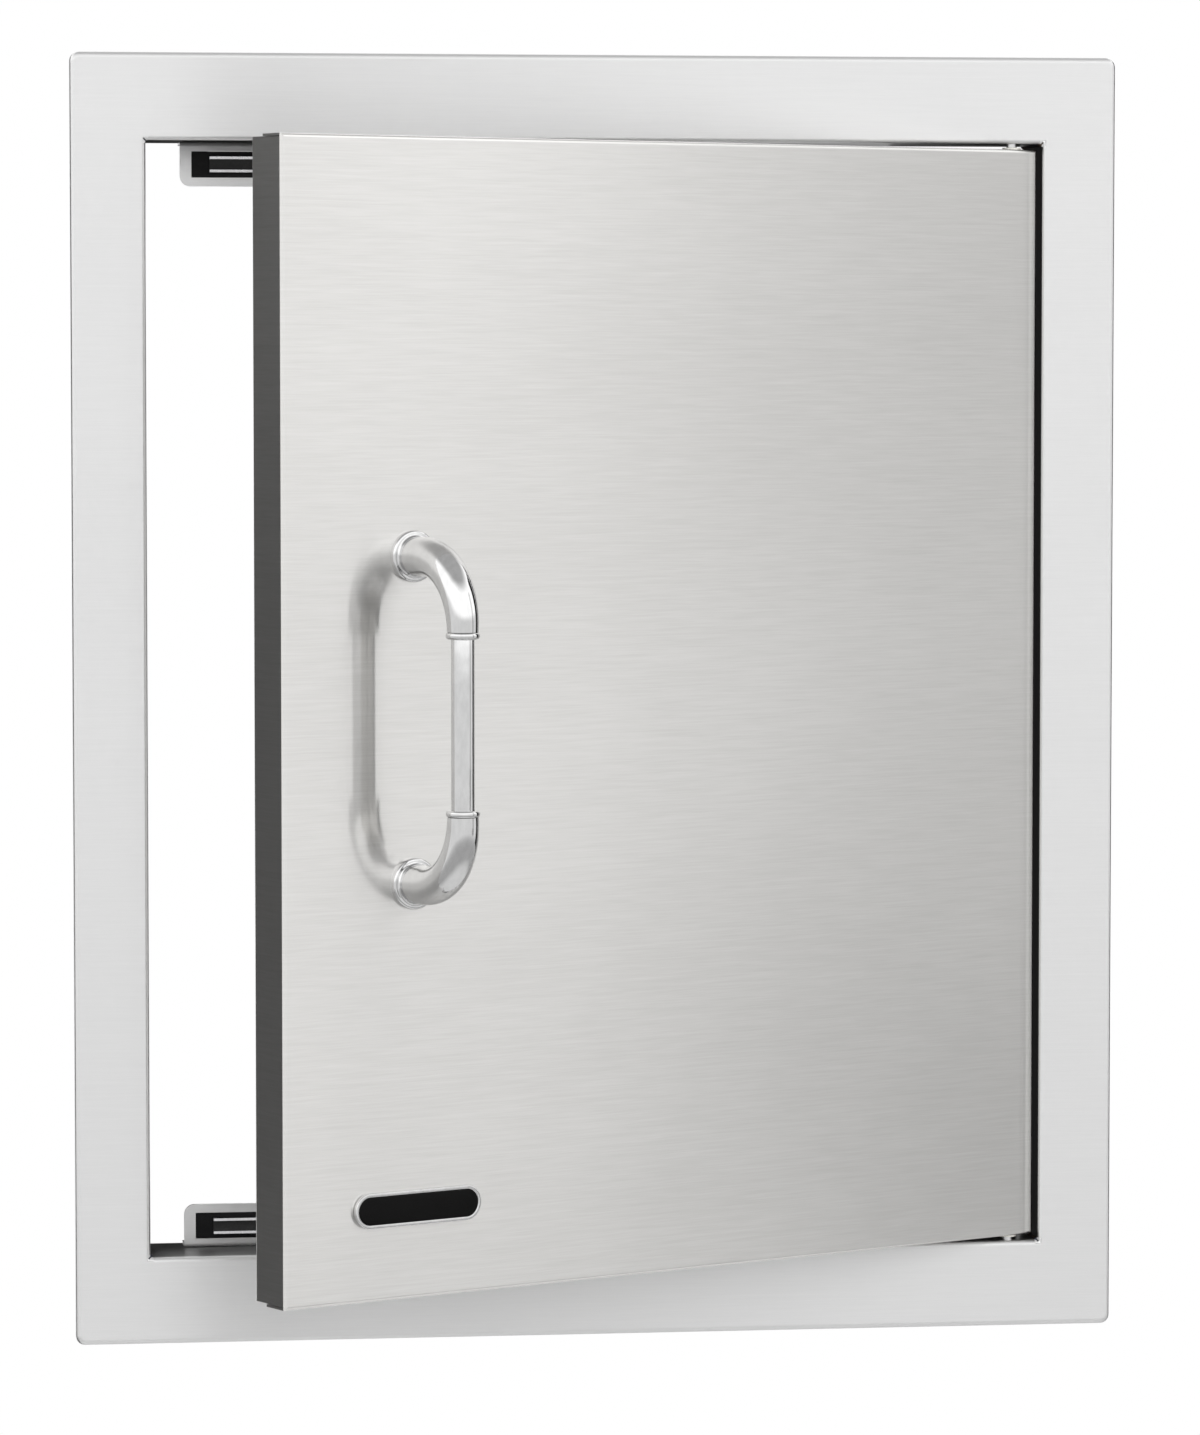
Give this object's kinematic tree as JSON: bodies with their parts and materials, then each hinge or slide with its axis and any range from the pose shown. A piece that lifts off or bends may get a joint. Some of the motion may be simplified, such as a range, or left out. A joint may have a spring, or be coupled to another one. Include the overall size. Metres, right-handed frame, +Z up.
{
  "type": "bbq island access door",
  "caption": "Framed stainless access door for an outdoor kitchen island, pivoting on pins, with a D handle of tapered elbows and magnetic catches.",
  "frame": {"origin": "centre of the opening, in the plane where the flange's return rim seats on the island's face", "axes": "+X towards the hinge side, +Y into the island, +Z up; the door faces -Y"},
  "size_m": [0.4572, 0.2247, 0.5588],
  "materials": {
    "brushed_stainless": "horizontally brushed stainless sheet",
    "chrome": "polished chrome",
    "fastener_steel": "plain bright steel",
    "plated_steel": "zinc-plated steel",
    "black_plastic": "fine-grained black moulding",
    "ferrite": "dark grey sintered ferrite"
  },
  "bodies": {
    "frame": {"door_frame": "brushed_stainless", "hinge_pin_top": "fastener_steel", "hinge_pin_bottom": "fastener_steel", "hinge_nuts": "fastener_steel", "catch_bracket_top": "brushed_stainless", "catch_bracket_bottom": "brushed_stainless", "catch_housing_top": "black_plastic", "catch_housing_bottom": "black_plastic", "catch_magnet_top": "ferrite", "catch_magnet_bottom": "ferrite", "catch_poles_top": "plated_steel", "catch_poles_bottom": "plated_steel", "catch_screws": "fastener_steel"},
    "door": {"door_skin": "brushed_stainless", "door_liner": "brushed_stainless", "hinge_bush_top": "black_plastic", "hinge_bush_bottom": "black_plastic", "handle_elbows": "chrome", "handle_bar": "chrome", "handle_screws": "fastener_steel", "strike_plate_top": "plated_steel", "strike_plate_bottom": "plated_steel"}
  },
  "joints": [
    {"name": "door_swing", "type": "hinge", "parent": "frame", "child": "door", "pos_m": [0.1832, -0.001, 0], "axis": [0, 0, 1], "range_deg": [-26.5, 93.5]}
  ]
}
